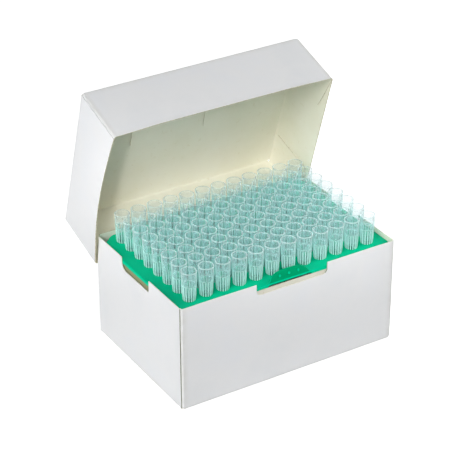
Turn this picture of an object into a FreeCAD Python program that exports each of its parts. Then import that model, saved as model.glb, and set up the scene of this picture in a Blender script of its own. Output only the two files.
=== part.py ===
import FreeCAD, Part
import math
import os

from FreeCAD import Vector, Placement, Rotation

# ---------------------------------------------------------------------------
# Hinged-lid carton holding a rack plate of 96 ribbed pipette tips.
# Millimetres. X runs along the long side, Y from the front wall to the back,
# Z up. The origin is the centre of the carton's underside. The lid stands
# open, as an opened pack does on a bench.
# ---------------------------------------------------------------------------

# board
BOARD = 0.40            # thickness of the folding boxboard
FOLD_R = 1.0            # outer radius of a standing fold

# carton base
LEN = 119.0             # outer length, X
DEP = 81.6              # outer depth, Y
HGT = 55.0              # height of the walls
CREASE_Z = 38.2         # height of the lid's crease on the back wall
LAP_EDGE = 1.1          # side panel's raw edge, back from the corner
FLAP_LEN = 20.0         # glue flaps behind the side panels
FLAP_TOP = 50.0

# lid (dimensions as if closed)
LID_H = 32.8            # height from the crease to the top face
LID_SIDE_GAP = 0.30     # between the lid's glue flaps and the base's walls
LID_OPEN_DEG = 72.5     # opening angle as it stands
SWING_CLEAR = 0.15      # front panel's clearance past the rim as it swings
HINGE_OUT = 0.10        # crease line stands this far off the wall's face
LID_BOW = 3.0           # outward bow of the lid's left panel at mid-edge

# thumb cut-outs in the walls
FRONT_CUT = (-18.9, 20.5, 49.1, 2.6, 2.6)    # x0, x1, bottom z, corner radii
SIDE_CUT = (-11.1, 15.1, 48.7, 1.2, 4.2)     # y0, y1, bottom z, corner radii

# inner liner (standing sleeve of board that carries the plate)
LINER_X = 58.5          # outer half length
LINER_Y0 = -40.2        # outer front face
LINER_Y1 = 40.0         # outer back face
LINER_TOP = 51.3
LINER_R = 1.2

# rack plate
PLATE_X = 58.8
PLATE_Y0 = -40.1
PLATE_Y1 = 39.3
PLATE_T = 1.5
PLATE_TOP = LINER_TOP + PLATE_T
PITCH = 9.0
COLS, ROWS = 12, 8
HOLE_R = 2.62
LIP_T = 1.0             # locating lip under the plate, inside the liner
LIP_H = 3.0
TAB_W = 24.0            # lifting tab at the plate's front edge
TAB_H = 5.5
TAB_T = 1.1
TAB_LEAN = 24.0         # degrees, leaning back

# tips
TIP_TOP = 68.0
TIP_LEN = 51.0
SOCKET_R = 3.1
RIBS = 16
RIB_W = 0.5

os.makedirs("parts", exist_ok=True)


def box(x0, x1, y0, y1, z0, z1):
    return Part.makeBox(x1 - x0, y1 - y0, z1 - z0, Vector(x0, y0, z0))


def fuse(shapes):
    s = shapes[0].multiFuse(shapes[1:]) if len(shapes) > 1 else shapes[0]
    s = s.removeSplitter()
    return s


def one_solid(s):
    if len(s.Solids) != 1:
        raise RuntimeError("expected one solid, got %d" % len(s.Solids))
    sol = s.Solids[0]
    if not sol.isValid():
        raise RuntimeError("invalid solid")
    return sol


def face_from(points, arcs=()):
    # points in order round the outline; a point may be ("arc", mid, end)
    edges = []
    cur = points[0]
    for p in points[1:]:
        if isinstance(p, tuple) and p[0] == "arc":
            edges.append(Part.Arc(cur, p[1], p[2]).toShape())
            cur = p[2]
        else:
            edges.append(Part.LineSegment(cur, p).toShape())
            cur = p
    if cur.distanceToPoint(points[0]) > 1e-7:
        edges.append(Part.LineSegment(cur, points[0]).toShape())
    return Part.Face(Part.Wire(edges))


def rounded_cut(a0, a1, z0, z1, r0, r1, n0, n1, along):
    # a wall cut-out open at the top: flat bottom at z0, a corner radius at
    # each end; along is "x" (cut through Y) or "y" (cut through X)
    def P(a, z):
        return Vector(a, n0, z) if along == "x" else Vector(n0, a, z)
    s = math.sqrt(0.5)
    pts = [P(a0, z1),
           P(a0, z0 + r0),
           ("arc", P(a0 + r0 * (1 - s), z0 + r0 * (1 - s)), P(a0 + r0, z0)),
           P(a1 - r1, z0),
           ("arc", P(a1 - r1 * (1 - s), z0 + r1 * (1 - s)), P(a1, z0 + r1)),
           P(a1, z1)]
    f = face_from(pts)
    d = Vector(0, n1 - n0, 0) if along == "x" else Vector(n1 - n0, 0, 0)
    return f.extrude(d)


def folded_end(x, y, back, flap, z0, z1, zf0, zf1):
    # an end panel with its two standing folds and the glue flaps behind the
    # side panels. x: half width over the flaps' outer faces, y: outer face,
    # back: +1 if the flaps run towards +Y, flap: how far they run
    b = back
    s = math.sqrt(0.5)
    R = FOLD_R
    r = R - BOARD

    def strip(length, za, zb):
        # a constant-thickness band following the panel and both folds
        cx, cy = x - R, y + b * R
        o = [Vector(-x, cy + b * length, za), Vector(-x, cy, za),
             ("arc", Vector(-cx - R * s, cy - b * R * s, za), Vector(-cx, y, za)),
             Vector(cx, y, za),
             ("arc", Vector(cx + R * s, cy - b * R * s, za), Vector(x, cy, za)),
             Vector(x, cy + b * length, za),
             Vector(x - BOARD, cy + b * length, za),
             Vector(x - BOARD, cy, za),
             ("arc", Vector(cx + r * s, cy - b * r * s, za), Vector(cx, y + b * BOARD, za)),
             Vector(-cx, y + b * BOARD, za),
             ("arc", Vector(-cx - r * s, cy - b * r * s, za), Vector(-x + BOARD, cy, za)),
             Vector(-x + BOARD, cy + b * length, za)]
        return face_from(o).extrude(Vector(0, 0, zb - za))

    bands = [strip(0.6, z0, z1)]
    if flap > 0.6:
        bands.append(strip(flap, zf0, zf1))
    return bands


# ---------------------------------------------------------------- carton base
hx, hy = LEN / 2.0, DEP / 2.0


def side_panel(sign):
    # rises from the bottom; its rear edge is cut back above the crease so
    # that the lid's back panel can close behind it
    x0 = sign * hx
    x1 = sign * (hx - BOARD)
    yb = hy - LAP_EDGE
    prof = Part.BSplineCurve()
    prof.interpolate([Vector(x0, yb, CREASE_Z - 2.0), Vector(x0, yb - 0.35, CREASE_Z + 2.0),
                      Vector(x0, yb - 1.0, CREASE_Z + 8.0), Vector(x0, yb - 1.9, CREASE_Z + 13.0),
                      Vector(x0, yb - 2.0, HGT)])
    e = [Part.LineSegment(Vector(x0, -hy + LAP_EDGE, 0), Vector(x0, yb, 0)).toShape(),
         Part.LineSegment(Vector(x0, yb, 0), Vector(x0, yb, CREASE_Z - 2.0)).toShape(),
         prof.toShape(),
         Part.LineSegment(Vector(x0, yb - 2.0, HGT), Vector(x0, -hy + LAP_EDGE, HGT)).toShape(),
         Part.LineSegment(Vector(x0, -hy + LAP_EDGE, HGT), Vector(x0, -hy + LAP_EDGE, 0)).toShape()]
    p = Part.Face(Part.Wire(e)).extrude(Vector(x1 - x0, 0, 0))
    cut = rounded_cut(SIDE_CUT[0], SIDE_CUT[1], SIDE_CUT[2], HGT + 1, SIDE_CUT[3], SIDE_CUT[4],
                      -hx - 1 if sign < 0 else hx - 2, -hx + 2 if sign < 0 else hx + 1, "y")
    return p.cut(cut)


bottom = box(-hx, hx, -hy, hy, 0, BOARD)
for sx in (-1, 1):
    for sy in (-1, 1):
        # the bottom's corners are nicked where the four folds meet
        c = box(-1.2, 1.2, -1.2, 1.2, -1, 1)
        c.translate(Vector(sx * hx, sy * hy, 0))
        bottom = bottom.cut(c)

front = folded_end(hx - BOARD, -hy, 1, FLAP_LEN, 0, HGT, 1.0, FLAP_TOP)
fcut = rounded_cut(FRONT_CUT[0], FRONT_CUT[1], FRONT_CUT[2], HGT + 1, FRONT_CUT[3], FRONT_CUT[4],
                   -hy - 1, -hy + 2, "x")
front = [b.cut(fcut) for b in front]
back = folded_end(hx - BOARD, hy, -1, FLAP_LEN, 0, CREASE_Z - 0.1, 1.0, CREASE_Z - 2.0)

carton_base = one_solid(fuse([bottom, side_panel(-1), side_panel(1)] + front + back))

# ---------------------------------------------------------------------- lid
# modelled closed, then turned back about the crease
HX, HY, HZ = 0.0, hy + HINGE_OUT, CREASE_Z           # crease line, along X
lid_x = hx + LID_SIDE_GAP + 2 * BOARD                  # outer half length
reach = math.hypot(HY + hy, HGT - CREASE_Z)            # crease to the front rim
lid_front = HY - (reach + SWING_CLEAR + BOARD)         # outer face of front panel
lid_back = hy
z_lo = CREASE_Z + 0.1
z_hi = CREASE_Z + LID_H


def ruled_slab(x_at, y0, y1, thick, zl, zh):
    # a board standing in the YZ plane between z = zl and zh: its top edge is
    # straight at x_at(y, zh), its lower edge follows x_at(y, zl)
    n = 13
    ys = [y0 + (y1 - y0) * i / (n - 1.0) for i in range(n)]

    def low(dx):
        c = Part.BSplineCurve()
        c.interpolate([Vector(x_at(y, zl) + dx, y, zl) for y in ys])
        return c.toShape()

    def high(dx):
        c = Part.BSplineCurve()
        c.interpolate([Vector(x_at(y, zh) + dx, y, zh) for y in ys])
        return c.toShape()

    lo_o, lo_i, hi_o, hi_i = low(0), low(thick), high(0), high(thick)
    faces = [Part.makeRuledSurface(lo_o, hi_o), Part.makeRuledSurface(lo_i, hi_i),
             Part.makeRuledSurface(lo_o, lo_i), Part.makeRuledSurface(hi_o, hi_i)]
    for y in (y0, y1):
        a, b = Vector(x_at(y, zl), y, zl), Vector(x_at(y, zh), y, zh)
        c, d = Vector(x_at(y, zh) + thick, y, zh), Vector(x_at(y, zl) + thick, y, zl)
        faces.append(face_from([a, b, c, d]))
    sh = Part.makeShell(faces)
    sh.sewShape()
    s = Part.makeSolid(sh)
    if s.Volume < 0:
        s.reverse()
    return s


def bowed(y, z):
    # outer face of the left panel: straight along the top fold, bowed
    # outwards along the open edge
    s = (y - (lid_front + LAP_EDGE)) / ((lid_back - LAP_EDGE) - (lid_front + LAP_EDGE))
    s = min(max(s, 0.0), 1.0)
    k = (z_hi - BOARD - z) / (z_hi - BOARD - z_lo)
    return -lid_x - LID_BOW * math.sin(math.pi * s) * max(k, 0.0)


def flap_outline(front_end):
    # the glue flaps' outline in Y and Z; the front ones have a slanted lower
    # edge
    if front_end:
        y0 = lid_front + FOLD_R
        return [(y0 - 0.2, z_lo), (y0 + 0.9, z_lo), (y0 + 13.5, z_lo + 3.1), (y0 + 21.0, z_lo + 5.5),
                (y0 + 21.0, z_hi - 3.0), (y0 - 0.2, z_hi - BOARD / 2)]
    y1 = lid_back - FOLD_R
    return [(y1 + 0.2, z_lo), (y1 + 0.2, z_hi - BOARD / 2), (y1 - 20.0, z_hi - 3.0),
            (y1 - 20.0, z_lo + 3.0), (y1 - 0.9, z_lo)]


def prism_x(outline, x0, x1):
    f = face_from([Vector(x0, y, z) for y, z in outline])
    return f.extrude(Vector(x1 - x0, 0, 0))


lid_parts = []
# top panel, and the front panel's turned-in ply glued under it with its two
# rounded tongues
lid_parts.append(box(-lid_x, lid_x, lid_front + 0.3, lid_back - 0.3, z_hi - BOARD, z_hi))
ply = [box(-lid_x + 3.0, lid_x - 3.0, lid_front + 0.2, HY - 52.0, z_hi - 2 * BOARD, z_hi - BOARD + 0.1)]
for x0, x1 in ((-29.4, -12.0), (12.0, 29.4)):
    yt = HY - 38.6
    r = 4.0
    s = math.sqrt(0.5)
    zz = z_hi - 2 * BOARD
    f = face_from([Vector(x0, HY - 53.0, zz), Vector(x0, yt - r, zz),
                   ("arc", Vector(x0 + r * (1 - s), yt - r * (1 - s), zz), Vector(x0 + r, yt, zz)),
                   Vector(x1 - r, yt, zz),
                   ("arc", Vector(x1 - r * (1 - s), yt - r * (1 - s), zz), Vector(x1, yt - r, zz)),
                   Vector(x1, HY - 53.0, zz)])
    ply.append(f.extrude(Vector(0, 0, BOARD + 0.1)))
lid_parts += ply

# front and back panels with their standing folds
lid_parts.append(folded_end(lid_x - BOARD, lid_front, 1, 0, z_lo, z_hi, z_lo, z_hi)[0])
lid_parts.append(folded_end(lid_x - BOARD, lid_back, -1, 0, z_lo, z_hi, z_lo, z_hi)[0])

# right side panel: flat, with its glue flaps inside
ys0, ys1 = lid_front + LAP_EDGE, lid_back - LAP_EDGE
lid_parts.append(box(lid_x - BOARD, lid_x, ys0, ys1, z_lo, z_hi))
for fe in (True, False):
    lid_parts.append(prism_x(flap_outline(fe), lid_x - 2 * BOARD, lid_x - BOARD / 2))

# left side panel: bowed outwards along its open edge, with its glue flaps
lid_parts.append(ruled_slab(bowed, ys0, ys1, BOARD, z_lo, z_hi))
for fe in (True, False):
    ol = flap_outline(fe)
    ya, yb = min(p[0] for p in ol), max(p[0] for p in ol)
    slab = ruled_slab(lambda y, z: bowed(y, z) + BOARD / 2, ya, yb, BOARD * 1.5, z_lo, z_hi)
    lid_parts.append(slab.common(prism_x(ol, -lid_x - 8, -lid_x + 4)))

carton_lid = one_solid(fuse(lid_parts))
carton_lid.rotate(Vector(HX, HY, HZ), Vector(1, 0, 0), -LID_OPEN_DEG)

# -------------------------------------------------------------------- liner


def ring(x0, x1, y0, y1, r, z0, z1):
    b = box(x0, x1, y0, y1, z0, z1)
    ed = [e for e in b.Edges if abs(e.Vertexes[0].X - e.Vertexes[1].X) < 1e-6
          and abs(e.Vertexes[0].Y - e.Vertexes[1].Y) < 1e-6]
    return b.makeFillet(r, ed)


liner = ring(-LINER_X, LINER_X, LINER_Y0, LINER_Y1, LINER_R, BOARD, HGT - 0.1)
liner = liner.cut(ring(-LINER_X + BOARD, LINER_X - BOARD, LINER_Y0 + BOARD, LINER_Y1 - BOARD,
                       LINER_R - BOARD, BOARD - 1, HGT + 1))
# only the back wall stands as high as the rim: the others stop under the plate
liner = liner.cut(box(-hx, hx, -hy, LINER_Y1 - LINER_R - 0.2, LINER_TOP, HGT + 1))
# glue lap inside the back wall
liner = liner.fuse(box(38.0, LINER_X - LINER_R - 0.3, LINER_Y1 - 2 * BOARD, LINER_Y1 - BOARD / 2, 1.5, LINER_TOP - 1.5))
inner_liner = one_solid(liner.removeSplitter())

# --------------------------------------------------------------- rack plate


def plate_outline(z, d=0.0):
    # d: inset. Small corner at front left, long rounded chamfer at back left,
    # rounded corners on the right
    x0, x1, y0, y1 = -PLATE_X + d, PLATE_X - d, PLATE_Y0 + d, PLATE_Y1 - d
    s = math.sqrt(0.5)
    q = 1 - s
    rf, rr, ch, k = 1.8 - d * 0.5, 5.0 - d * 0.5, 6.6 - d * 0.5, 1.6
    return [Vector(x0 + rf, y0, z), Vector(x1 - rr, y0, z),
            ("arc", Vector(x1 - rr * q, y0 + rr * q, z), Vector(x1, y0 + rr, z)),
            Vector(x1, y1 - rr, z),
            ("arc", Vector(x1 - rr * q, y1 - rr * q, z), Vector(x1 - rr, y1, z)),
            Vector(x0 + ch + k, y1, z),
            ("arc", Vector(x0 + ch - 0.10 * k, y1 - 0.42 * k, z), Vector(x0 + ch - k * 0.9, y1 - k * 0.9 - 0.15, z)),
            Vector(x0 + k * 0.9 + 0.15, y1 - ch + k * 0.9, z),
            ("arc", Vector(x0 + 0.42 * k, y1 - ch + 0.10 * k, z), Vector(x0, y1 - ch - k, z)),
            Vector(x0, y0 + rf, z),
            ("arc", Vector(x0 + rf * q, y0 + rf * q, z), Vector(x0 + rf, y0, z))]


deck = face_from(plate_outline(LINER_TOP)).extrude(Vector(0, 0, PLATE_T))
top_edges = [e for e in deck.Edges
             if all(abs(v.Z - PLATE_TOP) < 1e-6 for v in e.Vertexes)]
deck = deck.makeFillet(0.55, top_edges)

holes = []
tip_xy = []
for i in range(COLS):
    for j in range(ROWS):
        x = (i - (COLS - 1) / 2.0) * PITCH
        y = (j - (ROWS - 1) / 2.0) * PITCH
        tip_xy.append((i, x, y))
        holes.append(Part.makeCylinder(HOLE_R, 12, Vector(x, y, LINER_TOP - 5)))

# locating lip: a thin wall under the deck that drops inside the liner
lx = LINER_X - BOARD - 0.3
ly0, ly1 = LINER_Y0 + BOARD + 0.3, LINER_Y1 - BOARD - 0.7
lip = ring(-lx, lx, ly0, ly1, 7.5, LINER_TOP - LIP_H, LINER_TOP + 0.3)
lip = lip.cut(ring(-lx + LIP_T, lx - LIP_T, ly0 + LIP_T, ly1 - LIP_T, 6.5,
                   LINER_TOP - LIP_H - 1, LINER_TOP + 0.6))
# the lip leaves room for the liner's glue lap
lip = lip.cut(box(36.5, LINER_X, LINER_Y1 - 3.2, LINER_Y1, LINER_TOP - LIP_H - 1, LINER_TOP))

# lifting tab: an upright D-shaped grip at the front edge, leaning back
half = [(12.0, 0.0), (11.0, 1.0), (10.2, 2.1), (9.2, 3.3), (7.8, 4.4), (5.8, 5.1), (3.0, TAB_H - 0.1)]
pts = [Vector(-a * TAB_W / 24.0, 0, b) for a, b in half] + [Vector(0, 0, TAB_H)] + \
      [Vector(a * TAB_W / 24.0, 0, b) for a, b in reversed(half)]
crown = Part.BSplineCurve()
crown.interpolate(pts)
tab = Part.Face(Part.Wire([crown.toShape(), Part.LineSegment(pts[-1], pts[0]).toShape()]))
tab = tab.extrude(Vector(0, TAB_T, 0))
crown_edges = [e for e in tab.Edges if len(e.Vertexes) == 2 and e.Length > TAB_W + 1.0]
tab = tab.makeFillet(0.4, crown_edges)
bumps = []
for bx in (-5.1, 0.0, 5.1):
    bumps.append(Part.makeSphere(0.75, Vector(bx, 0.15, 3.0)))
tab = tab.multiFuse(bumps)
tab.rotate(Vector(0, 0, 0), Vector(1, 0, 0), -TAB_LEAN)
tab.translate(Vector(0.1, PLATE_Y0 + 0.05, PLATE_TOP - 0.65))

plate = deck.multiFuse([lip, tab]).removeSplitter()
# the underside is relieved under the tab, for a fingernail
relief = box(-TAB_W / 2 + 0.1, TAB_W / 2 + 0.1, PLATE_Y0 - 1, PLATE_Y0 + 1.7, LINER_TOP - LIP_H - 1, LINER_TOP + 0.85)
plate = plate.cut(relief)
plate = plate.cut(Part.makeCompound(holes))
rack_plate = one_solid(plate.removeSplitter())

# --------------------------------------------------------------------- tips
T = TIP_TOP
profile = [(3.35, T), (3.78, T), (3.80, T - 0.45), (3.68, T - 0.75), (3.48, T - 7.6),
           (2.75, T - 7.75), (2.50, PLATE_TOP), (2.35, PLATE_TOP - 5.0), (1.20, 30.0),
           (0.45, T - TIP_LEN), (0.22, T - TIP_LEN), (0.85, 30.0), (2.02, PLATE_TOP - 5.0),
           (2.15, PLATE_TOP), (2.40, T - 7.4), (SOCKET_R, T - 6.6), (SOCKET_R, T - 0.8)]
body = face_from([Vector(r, 0, z) for r, z in profile])
body = body.revolve(Vector(0, 0, 0), Vector(0, 0, 1), 360)
rib_out = [(2.46, PLATE_TOP), (2.84, PLATE_TOP), (3.08, PLATE_TOP + 0.9), (3.30, PLATE_TOP + 2.9),
           (3.44, T - 7.65), (2.60, T - 7.65)]
rib0 = face_from([Vector(r, -RIB_W / 2, z) for r, z in rib_out]).extrude(Vector(0, RIB_W, 0))
ribs = []
for k in range(RIBS):
    rb = rib0.copy()
    rb.rotate(Vector(0, 0, 0), Vector(0, 0, 1), 360.0 * k / RIBS + 11.25)
    ribs.append(rb)
tip = one_solid(body.multiFuse(ribs))

columns = {}
for i, x, y in tip_xy:
    t = tip.copy()
    t.Placement = Placement(Vector(x, y, 0), Rotation())
    columns.setdefault(i, []).append(t)

# ------------------------------------------------------------------- export
out = {"carton_base": carton_base, "carton_lid": carton_lid,
       "inner_liner": inner_liner, "rack_plate": rack_plate}
for i in range(COLS):
    out["tip_column_%02d" % (i + 1)] = Part.makeCompound(columns[i])
for name, shape in out.items():
    shape.exportStep("parts/%s.step" % name)
    bb = shape.BoundBox
    print("%-16s solids %2d  vol %9.2f  x %.2f..%.2f y %.2f..%.2f z %.2f..%.2f" % (
        name, len(shape.Solids), shape.Volume, bb.XMin, bb.XMax, bb.YMin, bb.YMax, bb.ZMin, bb.ZMax))
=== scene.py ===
import math

import bmesh
import bpy
import numpy as np
from mathutils import Matrix, Vector


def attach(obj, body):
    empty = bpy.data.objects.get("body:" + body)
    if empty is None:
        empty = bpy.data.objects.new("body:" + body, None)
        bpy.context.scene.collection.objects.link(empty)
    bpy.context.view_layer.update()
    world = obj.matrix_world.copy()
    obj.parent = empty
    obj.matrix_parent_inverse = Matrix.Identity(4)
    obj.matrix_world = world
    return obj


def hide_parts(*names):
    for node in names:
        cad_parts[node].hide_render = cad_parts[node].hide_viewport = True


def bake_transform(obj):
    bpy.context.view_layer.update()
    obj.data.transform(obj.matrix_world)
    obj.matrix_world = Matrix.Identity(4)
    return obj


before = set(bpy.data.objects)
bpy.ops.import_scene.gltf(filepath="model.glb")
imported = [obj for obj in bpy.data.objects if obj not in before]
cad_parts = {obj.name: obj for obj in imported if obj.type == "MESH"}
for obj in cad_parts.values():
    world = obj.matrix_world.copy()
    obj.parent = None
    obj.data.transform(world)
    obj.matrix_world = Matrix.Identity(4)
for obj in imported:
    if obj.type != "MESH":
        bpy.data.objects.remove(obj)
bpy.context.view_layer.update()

# ---------------------------------------------------------------------------
# An opened carton of pipette tips: folded board carton and lid, a board
# liner, a moulded rack plate and 96 ribbed tips. Worked out in millimetres
# and turned into metres when the meshes are made.
# ---------------------------------------------------------------------------
MM = 0.001
BOARD = 0.40
HX, HY, HGT = 59.5, 40.8, 55.0
CREASE = 38.2
R_CORNER = 1.0          # outer radius of the standing folds
R_FLOOR = 0.85          # outer radius of the folds round the bottom and top
LAP = 1.1
HINGE_Y = HY + 0.10
OPEN = math.radians(-72.5)
LID_X = HX + 0.30 + 2 * BOARD
REACH = math.hypot(HINGE_Y + HY, HGT - CREASE)
LID_F = HINGE_Y - (REACH + 0.15 + BOARD)
LID_B = HY
Z_LO = CREASE + 0.1
Z_HI = CREASE + 32.8
BOW = 3.0
PITCH = 9.0
DECK = 52.8
T = 68.0            # rims of the tips


def clamp(v, a=0.0, b=1.0):
    return a if v < a else b if v > b else v


def smooth(t):
    t = clamp(t)
    return t * t * (3 - 2 * t)


def wave(a, b, k):
    """A smooth, repeatable unevenness between about -1 and 1."""
    return (math.sin(a * 0.061 + k * 1.7) * math.cos(b * 0.083 - k * 0.9)
            + 0.5 * math.sin(a * 0.137 + b * 0.09 + k * 2.3)
            + 0.3 * math.cos(a * 0.21 - b * 0.17 + k * 4.1)) / 1.8


def spread(a, b, step, extra=()):
    """Even samples from a to b, with the extra values put in."""
    n = max(1, int(round(abs(b - a) / step)))
    vals = [a + (b - a) * i / n for i in range(n + 1)]
    lo, hi = min(a, b), max(a, b)
    ex = [e for e in extra if lo - 1e-9 <= e <= hi + 1e-9]
    vals = [v for v in vals if all(abs(v - e) > step * 0.35 for e in ex)
            or v in (vals[0], vals[-1])]
    vals = sorted(set([round(v, 5) for v in vals + ex]))
    return vals if b > a else vals[::-1]


class Board:
    """A folded sheet of board: patches of outer points with their normals,
    joined where they meet, then given their thickness. Faces carry slot 0
    outside, 1 inside and 2 on the cut edges, or what pick says for an edge."""

    def __init__(self, thick=BOARD):
        self.t = thick
        self.index, self.out, self.inn, self.wear, self.quads = {}, [], [], [], []

    def vert(self, p, n, wear=0.0):
        p = np.asarray(p, float)
        n = np.asarray(n, float)
        i = p - n * self.t
        key = tuple(np.round(np.concatenate([p, i]) * 500).astype(int))
        if key not in self.index:
            self.index[key] = len(self.out)
            self.out.append(p)
            self.inn.append(i)
            self.wear.append(wear)
        else:
            k = self.index[key]
            self.wear[k] = max(self.wear[k], wear)
        return self.index[key]

    def patch(self, us, vs, at, keep=None):
        ids = [[self.vert(*at(u, v)) for v in vs] for u in us]
        for i in range(len(us) - 1):
            for j in range(len(vs) - 1):
                if keep is not None and not keep((us[i] + us[i + 1]) / 2, (vs[j] + vs[j + 1]) / 2):
                    continue
                q = [ids[i][j], ids[i + 1][j], ids[i + 1][j + 1], ids[i][j + 1]]
                if len(set(q)) == 4:
                    self.quads.append(q)

    def mesh(self, name, mats, turn=None, sharp=38, pick=None):
        n = len(self.out)
        co = np.array(self.out + self.inn) * MM
        if turn is not None:
            co = np.array([(turn @ Vector(c))[:] for c in co])
        used = {}
        for q in self.quads:
            for a, b in zip(q, q[1:] + q[:1]):
                used[(min(a, b), max(a, b))] = used.get((min(a, b), max(a, b)), 0) + 1
        faces, slots = [], []
        for q in self.quads:
            faces.append(q)
            slots.append(0)
            faces.append([k + n for k in reversed(q)])
            slots.append(1)
            for a, b in zip(q, q[1:] + q[:1]):
                if used[(min(a, b), max(a, b))] == 1:
                    faces.append([b, a, a + n, b + n])
                    slots.append(2 if pick is None else pick(self.out[a], self.out[b]))
        me = bpy.data.meshes.new(name)
        me.from_pydata([tuple(c) for c in co], [], faces)
        for m in mats:
            me.materials.append(m)
        me.polygons.foreach_set("material_index", slots)
        wear = me.attributes.new("wear", "FLOAT", "POINT")
        wear.data.foreach_set("value", np.array(self.wear + self.wear, np.float32))
        bm = bmesh.new()
        bm.from_mesh(me)
        loose = [v for v in bm.verts if not v.link_faces]
        bmesh.ops.delete(bm, geom=loose, context="VERTS")
        bmesh.ops.recalc_face_normals(bm, faces=bm.faces[:])
        bm.to_mesh(me)
        bm.free()
        me.polygons.foreach_set("use_smooth", [True] * len(me.polygons))
        me.set_sharp_from_angle(angle=math.radians(sharp))
        me.update()
        ob = bpy.data.objects.new(name, me)
        bpy.context.scene.collection.objects.link(ob)
        return ob


def cut_height(a, a0, a1, low, r0, r1, top):
    """Height of a panel's top edge at a, with a cut-out from a0 to a1."""
    if a <= a0 + 0.002 or a >= a1 - 0.002:
        return top
    if a < a0 + r0:
        d = a0 + r0 - a
        return low + r0 - math.sqrt(max(r0 * r0 - d * d, 0.0))
    if a > a1 - r1:
        d = a - (a1 - r1)
        return low + r1 - math.sqrt(max(r1 * r1 - d * d, 0.0))
    return low


def cut_samples(a0, a1, r0, r1):
    e = 0.012
    s = [a0, a0 + e]
    s += [a0 + r0 * (1 - math.cos(math.radians(t))) for t in (18, 36, 54, 72, 90)]
    s += [a1 - r1 * (1 - math.cos(math.radians(t))) for t in (90, 72, 54, 36, 18)]
    s += [a1 - e, a1]
    return s


def step_pair(a, e=0.006):
    return [a - e, a + e]


# ------------------------------------------------------------------ materials


def new_material(name):
    m = bpy.data.materials.new(name)
    m.use_nodes = True
    nt = m.node_tree
    nt.nodes.clear()
    out = nt.nodes.new("ShaderNodeOutputMaterial")
    bsdf = nt.nodes.new("ShaderNodeBsdfPrincipled")
    nt.links.new(bsdf.outputs[0], out.inputs["Surface"])
    return m, nt, bsdf, out


def node(nt, kind, **vals):
    n = nt.nodes.new(kind)
    for k, v in vals.items():
        if hasattr(n, k):
            setattr(n, k, v)
        else:
            n.inputs[k.replace("_", " ")].default_value = v
    return n


def noise(nt, coord, scale, detail=3.0, rough=0.55, distort=0.0):
    n = nt.nodes.new("ShaderNodeTexNoise")
    n.inputs["Scale"].default_value = scale
    n.inputs["Detail"].default_value = detail
    n.inputs["Roughness"].default_value = rough
    n.inputs["Distortion"].default_value = distort
    nt.links.new(coord, n.inputs["Vector"])
    return n.outputs["Fac"]


def ramp(nt, fac, stops, interp="LINEAR"):
    n = nt.nodes.new("ShaderNodeValToRGB")
    n.color_ramp.interpolation = interp
    els = n.color_ramp.elements
    while len(els) > 1:
        els.remove(els[-1])
    els[0].position, els[0].color = stops[0][0], (*stops[0][1], 1)
    for pos, col in stops[1:]:
        e = els.new(pos)
        e.color = (*col, 1)
    nt.links.new(fac, n.inputs["Fac"])
    return n.outputs["Color"]


def remap(nt, fac, a0, a1, b0, b1):
    n = nt.nodes.new("ShaderNodeMapRange")
    n.inputs["From Min"].default_value = a0
    n.inputs["From Max"].default_value = a1
    n.inputs["To Min"].default_value = b0
    n.inputs["To Max"].default_value = b1
    nt.links.new(fac, n.inputs["Value"])
    return n.outputs["Result"]


def maths(nt, op, a, b=None):
    n = nt.nodes.new("ShaderNodeMath")
    n.operation = op
    for i, v in enumerate((a, b)):
        if v is None:
            continue
        if isinstance(v, (int, float)):
            n.inputs[i].default_value = v
        else:
            nt.links.new(v, n.inputs[i])
    return n.outputs[0]


def mix(nt, fac, a, b):
    n = nt.nodes.new("ShaderNodeMix")
    n.data_type = "RGBA"
    n.clamp_factor = True
    if isinstance(fac, (int, float)):
        n.inputs["Factor"].default_value = fac
    else:
        nt.links.new(fac, n.inputs["Factor"])
    for sock, v in ((n.inputs[6], a), (n.inputs[7], b)):
        if isinstance(v, tuple):
            sock.default_value = (*v, 1)
        else:
            nt.links.new(v, sock)
    return n.outputs[2]


def coords(nt):
    return nt.nodes.new("ShaderNodeTexCoord").outputs["Object"]


def bump(nt, height, strength, distance, normal=None):
    n = nt.nodes.new("ShaderNodeBump")
    n.inputs["Strength"].default_value = strength
    n.inputs["Distance"].default_value = distance
    nt.links.new(height, n.inputs["Height"])
    if normal is not None:
        nt.links.new(normal, n.inputs["Normal"])
    return n.outputs["Normal"]


def attribute(nt, name):
    n = nt.nodes.new("ShaderNodeAttribute")
    n.attribute_name = name
    return n.outputs["Fac"]


def srgb(r, g, b):
    def f(c):
        c /= 255.0
        return c / 12.92 if c <= 0.04045 else ((c + 0.055) / 1.055) ** 2.4
    return (f(r), f(g), f(b))


def coated_board():
    # white clay-coated face: faint cloudiness, fine tooth, and the folds are
    # a little greyer and rougher: partly wear of the pressed coating, partly
    # painted shade of the rounded folds
    m, nt, b, out = new_material("coated_board")
    c = coords(nt)
    cloud = noise(nt, c, 38.0, 4.0, 0.6)
    fibre = noise(nt, c, 900.0, 3.0, 0.6)
    tone = ramp(nt, cloud, [(0.30, srgb(228, 230, 232)), (0.52, srgb(232, 233, 234)), (0.72, srgb(230, 232, 235))])
    wear = attribute(nt, "wear")
    fold_wear_and_shade = maths(nt, "MULTIPLY", wear, remap(nt, noise(nt, c, 160.0, 4.0, 0.65), 0.35, 0.65, 0.35, 1.0))
    # painted shade with wear: the folds are mixed towards grey
    colour = mix(nt, fold_wear_and_shade, tone, srgb(214, 214, 210))
    nt.links.new(colour, b.inputs["Base Color"])
    rough = maths(nt, "ADD", remap(nt, cloud, 0.3, 0.7, 0.44, 0.54), maths(nt, "MULTIPLY", fold_wear_and_shade, 0.2))
    nt.links.new(rough, b.inputs["Roughness"])
    b.inputs["Specular IOR Level"].default_value = 0.38
    n1 = bump(nt, fibre, 0.10, 0.00004)
    n2 = bump(nt, noise(nt, c, 60.0, 2.0, 0.5), 0.16, 0.0004, n1)
    nt.links.new(n2, b.inputs["Normal"])
    return m


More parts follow.
